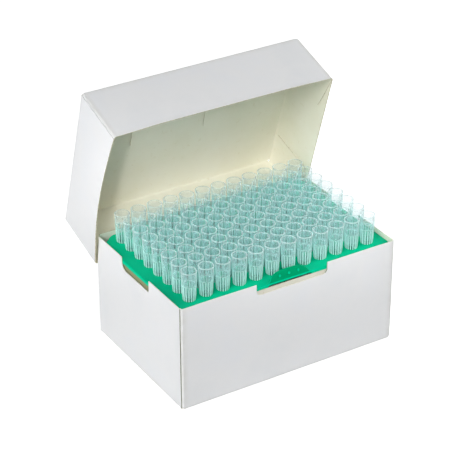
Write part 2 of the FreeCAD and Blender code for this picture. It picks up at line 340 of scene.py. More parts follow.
def plain_board():
    # the uncoated inside of the board: cream, matt and a little fibrous
    m, nt, b, out = new_material("plain_board")
    c = coords(nt)
    cloud = noise(nt, c, 30.0, 4.0, 0.6)
    fibre = noise(nt, c, 700.0, 4.0, 0.7)
    tone = ramp(nt, cloud, [(0.30, srgb(236, 233, 214)), (0.50, srgb(240, 237, 221)), (0.70, srgb(242, 240, 226))])
    fleck = ramp(nt, noise(nt, c, 420.0, 2.0, 0.5, 0.6), [(0.0, (1, 1, 1)), (0.64, (1, 1, 1)), (0.74, (0.90, 0.87, 0.80))])
    mul = nt.nodes.new("ShaderNodeMix")
    mul.data_type = "RGBA"
    mul.blend_type = "MULTIPLY"
    mul.inputs["Factor"].default_value = 0.5
    nt.links.new(tone, mul.inputs[6])
    nt.links.new(fleck, mul.inputs[7])
    nt.links.new(mul.outputs[2], b.inputs["Base Color"])
    nt.links.new(remap(nt, fibre, 0.3, 0.7, 0.82, 0.94), b.inputs["Roughness"])
    b.inputs["Specular IOR Level"].default_value = 0.2
    nt.links.new(bump(nt, fibre, 0.22, 0.00006), b.inputs["Normal"])
    return m


def raw_edge(name, light, dark):
    # the guillotined edge: layers of board showing as fine streaks
    m, nt, b, out = new_material(name)
    c = coords(nt)
    streak = noise(nt, c, 1400.0, 3.0, 0.6)
    nt.links.new(ramp(nt, streak, [(0.35, dark), (0.62, light)]), b.inputs["Base Color"])
    nt.links.new(remap(nt, streak, 0.3, 0.7, 0.85, 0.98), b.inputs["Roughness"])
    b.inputs["Specular IOR Level"].default_value = 0.15
    nt.links.new(bump(nt, streak, 0.3, 0.00005), b.inputs["Normal"])
    return m


def liner_board():
    m, nt, b, out = new_material("liner_board")
    c = coords(nt)
    fibre = noise(nt, c, 620.0, 4.0, 0.7)
    cloud = noise(nt, c, 45.0, 3.0, 0.6)
    tone = ramp(nt, cloud, [(0.3, srgb(216, 214, 200)), (0.7, srgb(224, 222, 210))])
    # painted shade: darker olive where the left cut-out bares the liner in its gap
    tone = mix(nt, attribute(nt, "wear"), tone, srgb(134, 138, 96))
    fleck = ramp(nt, noise(nt, c, 380.0, 3.0, 0.6, 0.8), [(0.0, (1, 1, 1)), (0.60, (1, 1, 1)), (0.72, (0.80, 0.74, 0.64))])
    mul = nt.nodes.new("ShaderNodeMix")
    mul.data_type = "RGBA"
    mul.blend_type = "MULTIPLY"
    mul.inputs["Factor"].default_value = 0.6
    nt.links.new(tone, mul.inputs[6])
    nt.links.new(fleck, mul.inputs[7])
    nt.links.new(mul.outputs[2], b.inputs["Base Color"])
    nt.links.new(remap(nt, fibre, 0.3, 0.7, 0.84, 0.95), b.inputs["Roughness"])
    b.inputs["Specular IOR Level"].default_value = 0.18
    nt.links.new(bump(nt, fibre, 0.3, 0.00006), b.inputs["Normal"])
    return m


def rack_plastic():
    # satin polypropylene: fine spark-eroded texture and faint flow clouding
    m, nt, b, out = new_material("rack_plastic")
    c = coords(nt)
    grain = noise(nt, c, 2200.0, 2.0, 0.5)
    cloud = noise(nt, c, 55.0, 3.0, 0.55, 0.4)
    tone = ramp(nt, cloud, [(0.30, srgb(0, 191, 143)), (0.52, srgb(0, 198, 148)), (0.72, srgb(0, 204, 153))])
    # the lifting tab: its front face is painted a deeper green as shade, for a face
    # turned from the light; its crown and the three grip dots on it keep the plate's
    # lighter green. t is the depth behind the face, h the height up it, in millimetres
    p = nt.nodes.new("ShaderNodeSeparateXYZ")
    nt.links.new(c, p.inputs[0])
    y = remap(nt, p.outputs["Y"], -0.04005, 0.05995, 0.0, 100.0)
    z = remap(nt, p.outputs["Z"], 0.05215, 0.15215, 0.0, 100.0)
    for n in (y.node, z.node):
        n.clamp = False
    cs, sn = math.cos(math.radians(24)), math.sin(math.radians(24))
    t = maths(nt, "SUBTRACT", maths(nt, "MULTIPLY", y, cs), maths(nt, "MULTIPLY", z, sn))
    h = maths(nt, "ADD", maths(nt, "MULTIPLY", y, sn), maths(nt, "MULTIPLY", z, cs))
    face = maths(nt, "MULTIPLY", remap(nt, t, 0.10, 0.32, 1.0, 0.0), remap(nt, t, -0.30, -0.06, 0.0, 1.0))
    face = maths(nt, "MULTIPLY", face, maths(nt, "GREATER_THAN", h, 0.74))
    face = maths(nt, "MULTIPLY", face, maths(nt, "LESS_THAN", maths(nt, "ABSOLUTE", p.outputs["X"]), 0.0125))
    # painted shade on the tab's front face
    tone = mix(nt, face, tone, srgb(0, 152, 102))
    nt.links.new(tone, b.inputs["Base Color"])
    nt.links.new(remap(nt, cloud, 0.3, 0.7, 0.34, 0.46), b.inputs["Roughness"])
    b.inputs["Specular IOR Level"].default_value = 0.05
    b.inputs["Specular Tint"].default_value = (0.02, 1.0, 0.72, 1)
    n1 = bump(nt, grain, 0.14, 0.00003)
    nt.links.new(bump(nt, noise(nt, c, 120.0, 2.0, 0.5), 0.10, 0.0002, n1), b.inputs["Normal"])
    return m


def tip_plastic(name, gloss):
    # natural polypropylene: clear with a milky, faintly blue-green veil that
    # gathers at grazing angles, at the rim, at the shoulder inside the collar
    # and on the ribs. foot_shade marks the foot of the body between the ribs,
    # which is painted dark teal: painted shade of the slots, with the rack's
    # green seen through the plastic painted in. Towards the foot the tone is
    # painted greener, for the rack's green light coming up through the plastic
    m = bpy.data.materials.new(name)
    m.use_nodes = True
    nt = m.node_tree
    nt.nodes.clear()
    out = nt.nodes.new("ShaderNodeOutputMaterial")
    b = nt.nodes.new("ShaderNodeBsdfPrincipled")
    c = coords(nt)
    veil = noise(nt, c, 240.0, 3.0, 0.6)
    z = nt.nodes.new("ShaderNodeSeparateXYZ")
    nt.links.new(c, z.inputs[0])
    low = remap(nt, z.outputs["Z"], DECK * MM, T * MM, 1.0, 0.0)
    tone = ramp(nt, veil, [(0.3, (0.71, 0.89, 0.89)), (0.7, (0.76, 0.91, 0.91))])
    # painted light: greener towards the foot, for the rack's green light shining up through the tips
    tone = mix(nt, low, tone, (0.44, 0.985, 0.91))
    # thick plastic, as in the rim and the ribs, is whiter
    milk = attribute(nt, "milk")
    tone = mix(nt, remap(nt, milk, 0.22, 0.60, 0.0, 0.62), tone, (0.74, 0.96, 0.95))
    # painted shade: the foot between the ribs goes dark teal
    nt.links.new(mix(nt, attribute(nt, "foot_shade"), tone, (0.0, 0.16, 0.14)), b.inputs["Base Color"])
    if gloss:
        nt.links.new(remap(nt, veil, 0.3, 0.7, 0.30, 0.38), b.inputs["Roughness"])
        b.inputs["Specular IOR Level"].default_value = 0.30
    else:
        b.inputs["Roughness"].default_value = 0.7
        b.inputs["Specular IOR Level"].default_value = 0.0
    b.inputs["IOR"].default_value = 1.49
    face = nt.nodes.new("ShaderNodeLayerWeight")
    face.inputs["Blend"].default_value = 0.5
    graze = maths(nt, "POWER", face.outputs["Facing"], 2.3)
    a = maths(nt, "ADD", milk, maths(nt, "MULTIPLY", graze, 0.76 if gloss else 0.0))
    # the milk scatters light onwards, so it shades less than it covers
    shade = nt.nodes.new("ShaderNodeLightPath")
    a = maths(nt, "MULTIPLY", a, remap(nt, shade.outputs["Is Shadow Ray"], 0.0, 1.0, 1.0, 0.90))
    n = maths(nt, "MINIMUM", a, 1.0)
    clear = nt.nodes.new("ShaderNodeBsdfTransparent")
    clear.inputs["Color"].default_value = (0.96, 0.97, 0.975, 1)
    mixs = nt.nodes.new("ShaderNodeMixShader")
    nt.links.new(n, mixs.inputs["Fac"])
    nt.links.new(clear.outputs[0], mixs.inputs[1])
    nt.links.new(b.outputs[0], mixs.inputs[2])
    nt.links.new(mixs.outputs[0], out.inputs["Surface"])
    return m


COATED = coated_board()
PLAIN = plain_board()
EDGE = raw_edge("raw_edge", srgb(222, 216, 194), srgb(184, 176, 150))
# painted highlight: the carton base's cut edges are painted brighter, as if lit from above
PAINTED_LIT_EDGE = raw_edge("painted_lit_edge", srgb(250, 249, 240), srgb(238, 236, 222))
# painted shade: dark cut edges for the crevices behind the corner folds
PAINTED_SHADE_EDGE = raw_edge("painted_shade_edge", srgb(138, 142, 120), srgb(104, 108, 86))
LINER = liner_board()
LINER_EDGE = raw_edge("liner_edge", srgb(214, 205, 184), srgb(172, 160, 132))
GREEN = rack_plastic()
TIP = tip_plastic("tip_plastic", True)
TIP_IN = tip_plastic("tip_plastic_inside", False)

# ---------------------------------------------------------------- carton base
XF = HX - BOARD - 0.02 - R_CORNER            # flat half width of the end walls
XB = HX - R_FLOOR
YW = HY - LAP
FRONT_CUT = (-18.9, 20.5, 49.1, 2.6, 2.6)
SIDE_CUT = (-11.1, 15.1, 48.7, 1.2, 4.2)
ARC = [math.radians(a) for a in (0, 15, 30, 45, 60, 75, 90)]


def front_top(x):
    return cut_height(x, *FRONT_CUT, HGT)


def back_top(x):
    return 37.2 if abs(x) < 57.5 else CREASE - 0.1


def scaled(z, top, full, hold):
    """Rows below hold keep their height, the rest share what is left."""
    return z if z <= hold else hold + (z - hold) * (top - hold) / (full - hold)


def base_carton():
    s = Board()
    xs_front = spread(-XF, XF, 2.6, cut_samples(FRONT_CUT[0], FRONT_CUT[1], FRONT_CUT[3], FRONT_CUT[4]))
    xs_back = spread(-XF, XF, 2.6, step_pair(-57.5) + step_pair(57.5))
    zs = spread(R_FLOOR, HGT, 2.6, (1.2, 46.0, 50.0))
    zs_back = spread(R_FLOOR, CREASE - 0.1, 2.6, (1.2, 30.0, 36.2))

    def dent(x, z, k, span):
        # panels are never quite flat: eased to nothing at every fold
        e = smooth((span - abs(x)) / 9.0) * smooth((z - 1.0) / 9.0)
        return 0.16 * e * (0.55 + 0.45 * wave(x, z, k))

    def fw(x, z):
        zz = scaled(z, front_top(x), HGT, 46.0)
        return (x, -HY + dent(x, zz, 1, XF), zz), (0, -1, 0), 0.0

    s.patch(xs_front, zs, fw)

    def bw(x, z):
        zz = scaled(z, back_top(x), CREASE - 0.1, 30.0)
        return (x, HY - dent(x, zz, 2, XF) * smooth((37 - z) / 8.0), zz), (0, 1, 0), 0.0

    s.patch(xs_back, zs_back, bw)

    # folds round the bottom
    def ff(x, a):
        n = (0, -math.cos(a), -math.sin(a))
        return (x, -HY + R_FLOOR + n[1] * R_FLOOR, R_FLOOR + n[2] * R_FLOOR), n, 0.5

    def bf(x, a):
        n = (0, math.cos(a), -math.sin(a))
        return (x, HY - R_FLOOR + n[1] * R_FLOOR, R_FLOOR + n[2] * R_FLOOR), n, 0.5

    s.patch(xs_front, ARC, ff)
    s.patch(xs_back, ARC, bf)

    xs = sorted(set(xs_front) | {-XB, XB})
    ys = sorted(set([-HY + R_FLOOR, HY - R_FLOOR] + spread(-YW, YW, 2.6, cut_samples(SIDE_CUT[0], SIDE_CUT[1], SIDE_CUT[3], SIDE_CUT[4]))))

    def bottom(x, y):
        return (x, y, 0.0), (0, 0, -1), 0.0

    # the bottom takes the front wall's columns at the front and the back
    # wall's columns in its last strip
    yb = ys[-2]
    s.patch(xs, [y for y in ys if y <= yb], bottom,
            lambda x, y: not (abs(x) > XF and abs(y) > YW))
    mid_front = [x for x in xs if -XF <= x <= XF]
    ids_a = [s.vert(*bottom(x, yb)) for x in mid_front]
    ids_b = [s.vert(*bottom(x, HY - R_FLOOR)) for x in xs_back]
    ia = ib = 0
    while ia < len(mid_front) - 1 or ib < len(xs_back) - 1:
        if ib == len(xs_back) - 1 or (ia < len(mid_front) - 1 and mid_front[ia + 1] <= xs_back[ib + 1]):
            s.quads.append([ids_a[ia], ids_a[ia + 1], ids_b[ib]])
            ia += 1
        else:
            s.quads.append([ids_a[ia], ids_b[ib + 1], ids_b[ib]])
            ib += 1

    # corner folds and glue flaps of the end walls
    for sx in (-1, 1):
        def fc(a, z):
            n = (sx * math.sin(a), -math.cos(a), 0)
            return (sx * XF + n[0] * R_CORNER, -HY + R_CORNER + n[1] * R_CORNER, z), n, 0.6

        def bc(a, z):
            n = (sx * math.sin(a), math.cos(a), 0)
            return (sx * XF + n[0] * R_CORNER, HY - R_CORNER + n[1] * R_CORNER, z), n, 0.6

        s.patch(ARC, zs, fc)
        s.patch(ARC, zs_back, bc)
        xo = sx * (XF + R_CORNER)
        s.patch(spread(-HY + R_CORNER, -HY + R_CORNER + 20, 2.5, (-HY + R_CORNER + 0.6,)), zs,
                lambda y, z: ((xo, y, z), (sx, 0, 0), 0.0),
                lambda y, z: y < -HY + R_CORNER + 0.6 or (1.2 < z < 50.0))
        s.patch(spread(HY - R_CORNER, HY - R_CORNER - 20, 2.5, (HY - R_CORNER - 0.6,)), zs_back,
                lambda y, z: ((xo, y, z), (sx, 0, 0), 0.0),
                lambda y, z: y > HY - R_CORNER - 0.6 or (1.2 < z < 36.2))

    # side walls, folded up from the bottom
    relief_z = (0.0, 36.2, 40.2, 46.2, 51.2, 55.0)
    relief_y = (0.0, 0.0, 0.35, 1.0, 1.9, 2.0)
    zs_side = spread(R_FLOOR, HGT, 2.6, (36.2, 40.2, 45.0))
    ys_side = [y for y in ys if abs(y) <= YW + 0.001]
    for sx in (-1, 1):
        def sf(a, y):
            n = (sx * math.cos(a), 0, -math.sin(a))
            return (sx * XB + n[0] * R_FLOOR, y, R_FLOOR + n[2] * R_FLOOR), n, 0.5

        def sp(z, y):
            top = cut_height(y, *SIDE_CUT, HGT)
            zz = scaled(z, top, HGT, 45.0)
            yy = y - np.interp(zz, relief_z, relief_y) * smooth((y - 20) / (YW - 20))
            e = smooth((z - 1.0) / 9.0) * smooth((YW - abs(y)) / 7.0)
            d = -0.16 * e * (0.5 + 0.5 * wave(y, zz, 3 + sx))
            # the raw edges stand a hair off the corners' folds
            lift = 0.05 * smooth((abs(yy) - YW + 2.2) / 2.2) * smooth((z - 2) / 6.0)
            return (sx * (HX + d + lift), yy, zz), (sx, 0, 0), 0.0

        s.patch(ARC, ys_side, sf)
        s.patch(zs_side, ys_side, sp)

    def pick(a, b):
        # standing edges sit in the crevice behind a corner's fold and are painted dark as shade of that crevice; the
        # other cut edges take the painted highlight
        return 3 if abs(a[2] - b[2]) > 0.7 * np.linalg.norm(a - b) and abs(a[1]) > 30 else 2

    return s.mesh("carton_shell", (COATED, PLAIN, PAINTED_LIT_EDGE, PAINTED_SHADE_EDGE), pick=pick)


# ---------------------------------------------------------------------- lid
TURN = Matrix.Translation(Vector((0, HINGE_Y, CREASE)) * MM) @ Matrix.Rotation(OPEN, 4, "X") @ Matrix.Translation(-Vector((0, HINGE_Y, CREASE)) * MM)
LXF = LID_X - BOARD - 0.02 - R_CORNER
LXB = LID_X - R_FLOOR


def lid_bow(y, z):
    s = clamp((y - (LID_F + LAP + 0.4)) / ((LID_B - LAP - 0.4) - (LID_F + LAP + 0.4)))
    k = clamp((Z_HI - BOARD - z) / (Z_HI - BOARD - Z_LO))
    return BOW * math.sin(math.pi * s) * k


def lid_low(x):
    return 39.2 if abs(x) < 57.5 else Z_LO


def lid_carton():
    s = Board()
    xs = spread(-LXF, LXF, 2.6, step_pair(-57.5) + step_pair(57.5))
    zt = Z_HI - R_FLOOR
    zs = spread(Z_LO, zt, 2.4, (44.0, 67.2))

    def front_bow(x, z):
        k = clamp((zt - z) / (zt - Z_LO))
        e = smooth((LXF - abs(x)) / 26.0)
        return 0.85 * e * k ** 1.4 + 0.10 * wave(x, z, 7) * e * k

    def fw(x, z):
        w = 0.5 * smooth((Z_LO + 0.5 - z) / 0.5)
        return (x, LID_F - front_bow(x, z), z), (0, -1, 0), w

    def bw(x, z):
        low = lid_low(x)
        zz = low + (z - Z_LO) * (44.0 - low) / (44.0 - Z_LO) if z < 44.0 else z
        e = smooth((LXF - abs(x)) / 12.0) * smooth((z - 40) / 8.0) * smooth((zt - z) / 6.0)
        return (x, LID_B - 0.14 * e * (0.5 + 0.5 * wave(x, z, 8)), zz), (0, 1, 0), 0.0

    s.patch(xs, zs, fw)
    s.patch(xs, zs, bw)

    def ff(x, a):
        n = (0, -math.cos(a), math.sin(a))
        return (x, LID_F + R_FLOOR + n[1] * R_FLOOR, zt + n[2] * R_FLOOR), n, 0.45

    def bf(x, a):
        n = (0, math.cos(a), math.sin(a))
        return (x, LID_B - R_FLOOR + n[1] * R_FLOOR, zt + n[2] * R_FLOOR), n, 0.45

    s.patch(xs, ARC, ff)
    s.patch(xs, ARC, bf)
    y0, y1 = LID_F + LAP, LID_B - LAP
    xt = sorted(set(xs) | {-LXB, LXB})
    ys_side = spread(y0, y1, 2.5)
    ys = sorted(set([LID_F + R_FLOOR, LID_B - R_FLOOR] + ys_side))

    def top(x, y):
        e = smooth((LXF - abs(x)) / 14.0) * smooth((y - LID_F) / 12.0) * smooth((LID_B - y) / 12.0)
        return (x, y, Z_HI - 0.20 * e * (0.6 + 0.4 * wave(x, y, 9))), (0, 0, 1), 0.0

    s.patch(xt, ys, top, lambda x, y: not (abs(x) > LXF and (y < y0 or y > y1)))

    for sx in (-1, 1):
        def fc(a, z):
            n = (sx * math.sin(a), -math.cos(a), 0)
            return (sx * LXF + n[0] * R_CORNER, LID_F + R_CORNER + n[1] * R_CORNER, z), n, 0.55

        def bc(a, z):
            n = (sx * math.sin(a), math.cos(a), 0)
            return (sx * LXF + n[0] * R_CORNER, LID_B - R_CORNER + n[1] * R_CORNER, z), n, 0.55

        s.patch(ARC, zs, fc)
        s.patch(ARC, zs, bc)
        xo = LXF + R_CORNER

        def bow(y, z):
            return lid_bow(y, z) if sx < 0 else 0.0

        # glue flaps, which follow the side panels but spring away from them
        # a little along the open edge
        yf = LID_F + R_CORNER

        def flap_front(y, z):
            u = y - yf
            low = Z_LO if u <= 0.9 else Z_LO + (np.interp(u, (0.9, 13.5, 21.0), (0.0, 3.1, 5.5)))
            hi = zt if u <= 0.6 else zt - 0.3 - 2.0 * smooth(u / 21.0)
            t = (z - Z_LO) / (zt - Z_LO)
            zz = low + t * (hi - low)
            spring = 0.13 * smooth(u / 8.0) * smooth((Z_LO + 14 - zz) / 14.0)
            return (sx * (xo + bow(y, zz) - spring), y, zz), (sx, 0, 0), 0.0

        def flap_back(y, z):
            u = LID_B - R_CORNER - y
            low = Z_LO if u <= 0.9 else Z_LO + (np.interp(u, (0.9, 20.0), (0.0, 3.0)))
            hi = zt if u <= 0.6 else zt - 0.3 - 2.0 * smooth(u / 20.0)
            t = (z - Z_LO) / (zt - Z_LO)
            zz = low + t * (hi - low)
            spring = 0.14 * smooth(u / 6.0) * smooth((Z_LO + 16 - zz) / 16.0)
            return (sx * (xo + bow(y, zz) - spring), y, zz), (sx, 0, 0), 0.0

        s.patch(spread(yf, yf + 21.0, 2.4, (yf + 0.9,)), zs, flap_front)
        s.patch(spread(LID_B - R_CORNER, LID_B - R_CORNER - 20.0, 2.4, (LID_B - R_CORNER - 0.9,)), zs, flap_back)

        def sf(a, y):
            n = (sx * math.cos(a), 0, math.sin(a))
            return (sx * LXB + n[0] * R_FLOOR, y, zt + n[2] * R_FLOOR), n, 0.45

        def sp(z, y):
            e = smooth((y - y0) / 10.0) * smooth((y1 - y) / 10.0) * smooth((zt - z) / 8.0)
            d = 0.12 * e * wave(y, z, 11 + sx) if sx < 0 else -0.12 * e * (0.5 + 0.5 * wave(y, z, 13))
            return (sx * (LID_X + bow(y, z)) + sx * d * (0.0 if sx > 0 and d > 0 else 1.0), y, z), (sx, 0, 0), 0.0

        s.patch(ARC, ys_side, sf)
        s.patch(zs, ys_side, sp)

    def pick(a, b):
        # the left panel's front edge is pressed flush into the corner
        return 0 if a[0] < 0 and a[1] < LID_F + 3 and b[1] < LID_F + 3 and abs(a[2] - b[2]) > abs(a[1] - b[1]) else 2

    return s.mesh("lid_shell", (COATED, PLAIN, EDGE), TURN, pick=pick)


def lid_ply():
    # the ply glued under the top, with its two rounded tongues
    s = Board(0.34)
    z = Z_HI - BOARD - 0.24
    y0, y1, yt = LID_F + 0.9, HINGE_Y - 52.0, HINGE_Y - 38.6
    tongues = ((-29.4, -12.0), (12.0, 29.4))
    r = 4.0
    extra = []
    for a, b in tongues:
        extra += [a - 0.006, a + 0.006, b - 0.006, b + 0.006]
        extra += [a + r * (1 - math.cos(math.radians(t))) for t in (22, 45, 67, 90)]
        extra += [b - r * (1 - math.cos(math.radians(t))) for t in (22, 45, 67, 90)]
    xs = spread(-57.2, 57.2, 3.0, extra)

    def end(x):
        for a, b in tongues:
            if a < x < b:
                if x < a + r:
                    d = a + r - x
                elif x > b - r:
                    d = x - b + r
                else:
                    return yt
                return yt - r + math.sqrt(max(r * r - d * d, 0.0))
        return y1

    ys = spread(y0, y1, 3.0, (y1 - 6.0,))
    n = len(ys)

    def at(x, y):
        e = end(x)
        yy = y if y <= y1 - 6.0 else y1 - 6.0 + (y - (y1 - 6.0)) / 6.0 * (e - (y1 - 6.0))
        droop = 0.34 * smooth((yy - (y1 - 2.0)) / (yt - y1 + 2.0))
        edge = smooth((57.2 - abs(x)) / 3.0)
        return (x, yy, z - 0.05 - 0.05 * edge * wave(x, yy, 5) - droop), (0, 0, 1), 0.0

    s.patch(xs, ys, at)
    return s.mesh("lid_inner_ply", (PLAIN, PLAIN, EDGE), TURN)


def crease_strip():
    # the scored strip that bends between the back wall and the lid; each
    # point turns about the crease by its own share of the opening
    start = Vector((0, HINGE_Y, 37.2))
    end_flat = Vector((0, HINGE_Y, 39.2))
    hinge = Vector((0, HINGE_Y, CREASE))

    def turned(p, w):
        a = OPEN * w
        d = Vector(p) - hinge
        return Vector((p[0], hinge.y + d.y * math.cos(a) - d.z * math.sin(a),
                       hinge.z + d.y * math.sin(a) + d.z * math.cos(a)))

    end = turned(end_flat, 1.0)
    d = end - start

    def share(p):
        lo, hi = 0.0, 1.0
        for _ in range(40):
            w = (lo + hi) / 2
            q = turned(p, w)
            t = clamp((Vector((0, q.y, q.z)) - start).dot(d) / d.length_squared)
            if t * t * (3 - 2 * t) > w:
                lo = w
            else:
                hi = w
        return (lo + hi) / 2

    xs = spread(-57.5, 57.5, 3.0)
    zs = [37.2, 37.5, 37.8, 38.0, 38.2, 38.4, 38.6, 38.9, 39.2]
    cache = {}

    def at(y, z):
        if (y, z) not in cache:
            cache[(y, z)] = turned((0, y, z), share((0, y, z)))
        return cache[(y, z)]

    s = Board()
    for x in xs:
        for z in zs:
            o = at(HY, z)
            i = at(HY - BOARD, z)
            s.index[(x, z)] = len(s.out)
            s.out.append(np.array((x, o.y, o.z)))
            s.inn.append(np.array((x, i.y, i.z)))
            s.wear.append(0.75 * (1 - abs(z - CREASE)))
    for i in range(len(xs) - 1):
        for j in range(len(zs) - 1):
            s.quads.append([s.index[(xs[i], zs[j])], s.index[(xs[i + 1], zs[j])],
                            s.index[(xs[i + 1], zs[j + 1])], s.index[(xs[i], zs[j + 1])]])
    ob = s.mesh("crease_fold", (COATED, PLAIN, EDGE))
    return ob, start * MM, end * MM


# -------------------------------------------------------------------- liner


def liner_sleeve():
    s = Board()
    X, Y0, Y1, R = 58.5, -40.2, 40.0, 1.2
    path = []

    def arc(cx, cy, a0):
        for k in range(7):
            a = math.radians(a0 + 15 * k)
            path.append((cx + R * math.cos(a), cy + R * math.sin(a), math.cos(a), math.sin(a)))

    ystep = Y1 - R - 0.2
    ys = spread(Y0 + R, Y1 - R, 3.0, step_pair(ystep))
    xs = spread(-X + R, X - R, 3.0)
    for x in xs[:-1]:
        path.append((x, Y0, 0, -1))
    arc(X - R, Y0 + R, -90)
    for y in ys[1:-1]:
        path.append((X, y, 1, 0))
    arc(X - R, Y1 - R, 0)
    for x in xs[::-1][1:-1]:
        path.append((x, Y1, 0, 1))
    arc(-X + R, Y1 - R, 90)
    for y in ys[::-1][1:-1]:
        path.append((-X, y, -1, 0))
    arc(-X + R, Y0 + R, 180)
    path = path[:-1] if (abs(path[-1][0] - path[0][0]) < 1e-6 and abs(path[-1][1] - path[0][1]) < 1e-6) else path
    ks = list(range(len(path))) + [0]
    zs = spread(0.42, 51.3, 3.0, (40.0,))

    def at(k, z):
        x, y, nx, ny = path[k]
        top = 54.9 if y > ystep else 51.3
        zz = scaled(z, top, 51.3, 40.0)
        e = smooth((z - 2) / 10.0)
        d = 0.10 * e * wave(x + y, zz, 15) if abs(nx) + abs(ny) < 1.001 and max(abs(nx), abs(ny)) > 0.999 else 0.0
        if abs(ny) > 0.999:
            d *= smooth((X - R - abs(x)) / 8.0)
        else:
            d *= smooth((39 - abs(y)) / 8.0)
        d = -abs(d)
        # painted shade: the liner is darker where the left cut-out bares it, down in the gap behind the wall
        gap_shade = 0.9 * smooth((zz - 46.0) / 2.0) * smooth((16 - abs(y - 2)) / 2.0) if nx < -0.9 else 0.0
        return (x + nx * d, y + ny * d, zz), (nx, ny, 0), gap_shade

    ids = [[s.vert(*at(k, z)) for z in zs] for k in ks]
    for i in range(len(ks) - 1):
        for j in range(len(zs) - 1):
            q = [ids[i][j], ids[i + 1][j], ids[i + 1][j + 1], ids[i][j + 1]]
            if len(set(q)) == 4:
                s.quads.append(q)
    return s.mesh("liner_sleeve", (LINER, LINER, LINER_EDGE))


def liner_lap():
    s = Board(0.36)
    s.patch(spread(38.0, 57.0, 3.0), spread(1.5, 49.8, 3.0),
            lambda x, z: ((x, 40.0 - BOARD - 0.13 - 0.12 * smooth((44.0 - x) / 6.0), z), (0, 1, 0), 0.0))
    return s.mesh("liner_lap", (LINER, LINER, LINER_EDGE))


# --------------------------------------------------------------------- tips


def tip_mesh_data():
    """One tip as a closed skin: rings of 64 points, four to each rib."""
    ang = []
    for k in range(16):
        c = 360.0 / 16 * k + 11.25
        ang += [c - 7.6, c - 5.0, c + 5.0, c + 7.6]
    ang = np.radians(np.array(ang))
    top = np.array([False, True, True, False] * 16)
    rings = []      # core radius, rib radius, z, milk, rib's milk, painted foot shade

    def ring(rc, z, milk, rr=None, rib=0.0, foot_shade=0.0):
        rings.append((rc, rc if rr is None else rr, z, milk, rib, foot_shade))

    V = 0.11      # collar, outside
    W = 0.0       # collar, inside: the skin outside it carries the veil
    # outside, from the rim down
    ring(3.42, T, 0.24)
    ring(3.68, T, 0.28)
    ring(3.77, T - 0.07, 0.46)
    ring(3.80, T - 0.20, 0.47)
    ring(3.79, T - 0.36, 0.38)
    ring(3.73, T - 0.56, 0.24)
    ring(3.67, T - 0.80, V)
    ring(3.65, T - 1.6, V)
    ring(3.60, T - 4.0, V)
    ring(3.53, T - 6.2, V + 0.02)
    ring(3.49, T - 7.2, V + 0.16)
    ring(3.46, T - 7.55, V + 0.26)
    ring(2.95, T - 7.72, 0.10, 3.44, 0.30)
    ring(2.76, T - 8.0, 0.05, 3.43, 0.36)
    ring(2.70, T - 10.2, 0.03, 3.38, 0.44)
    ring(2.60, T - 12.4, 0.03, 3.30, 0.55)
    ring(2.54, DECK + 2.0, 0.06, 3.22, 0.50)
    ring(2.53, DECK + 1.6, 0.55, 3.20, 0.60, 1.0)
    ring(2.51, DECK + 0.25, 0.90, 3.08, 0.80, 1.0)
    ring(2.50, DECK + 0.02, 0.90, 3.00, 0.80, 1.0)
    ring(2.495, DECK + 0.005, 0.5, foot_shade=1.0)
    ring(2.35, DECK - 5.0, 0.14)
    ring(1.78, 38.5, 0.14)
    ring(1.20, 30.0, 0.14)
    ring(0.80, 23.0, 0.14)
    ring(0.45, T - 51.0, 0.2)
    turn_in = len(rings)
    # inside, from the outlet up
    ring(0.22, T - 51.0, 0.5)
    ring(0.52, 23.0, 0.6)
    ring(0.85, 30.0, 0.6)
    ring(2.02, DECK - 5.0, 0.45)
    ring(2.15, DECK, 0.20)
    ring(2.34, T - 8.6, 0.0)
    ring(2.42, T - 7.45, W)
    ring(2.60, T - 7.20, 0.20)
    ring(3.00, T - 6.72, 0.20)
    ring(3.09, T - 6.50, W)
    ring(3.10, T - 5.4, W)
    ring(3.12, T - 3.0, W)
    ring(3.14, T - 1.0, W)
    ring(3.24, T - 0.6, W)
    ring(3.35, T - 0.12, 0.18)
    pts, milk, foot_shade = [], [], []
    for rc, rr, z, mk, rib, st in rings:
        r = np.where(top, rr, rc)
        pts.append(np.stack([r * np.cos(ang), r * np.sin(ang), np.full(64, z)], 1))
        ribbed = rr > rc + 0.05
        milk.append(np.where(top & ribbed, 0.05 + rib + 0.0 * mk, mk) if ribbed else np.full(64, mk))
        foot_shade.append(np.where(top & ribbed, 0.0, st))
    pts, milk, foot_shade = np.concatenate(pts), np.concatenate(milk), np.concatenate(foot_shade)
    n, faces, slots = len(rings), [], []
    for i in range(n):
        j = (i + 1) % n
        for k in range(64):
            l = (k + 1) % 64
            faces.append((i * 64 + k, i * 64 + l, j * 64 + l, j * 64 + k))
            slots.append(1 if turn_in <= i < n - 2 else 0)
    return pts, milk, foot_shade, np.array(faces), np.array(slots)


TIP_PTS, TIP_MILK, TIP_FOOT_SHADE, TIP_FACES, TIP_SLOTS = tip_mesh_data()


